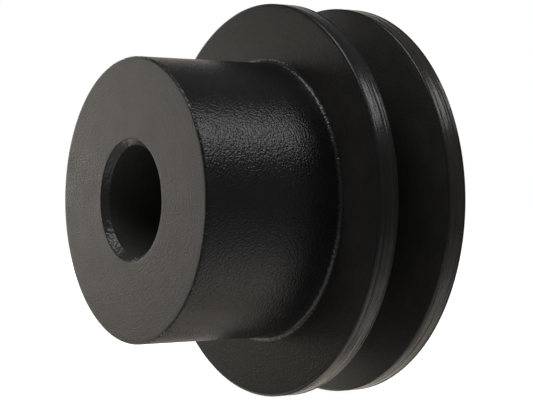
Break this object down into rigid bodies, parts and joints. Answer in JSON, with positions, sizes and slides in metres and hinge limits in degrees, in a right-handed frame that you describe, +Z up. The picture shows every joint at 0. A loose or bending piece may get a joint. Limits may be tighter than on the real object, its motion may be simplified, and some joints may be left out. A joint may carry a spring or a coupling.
{
  "type": "v belt pulley",
  "caption": "V-belt pulley with a long round hub, a plain chamfered bore and a V groove between two flat-rimmed flanges.",
  "frame": {"origin": "on the axis of rotation, in the middle of the belt groove", "axes": "+Y along the axis of rotation, from the nose of the hub towards the rear face; +Z up; +X to the right"},
  "size_m": [0.063, 0.0402, 0.063],
  "materials": {
    "black_coated_steel": "satin"
  },
  "bodies": {
    "root": {"pulley": "black_coated_steel"}
  },
  "joints": []
}
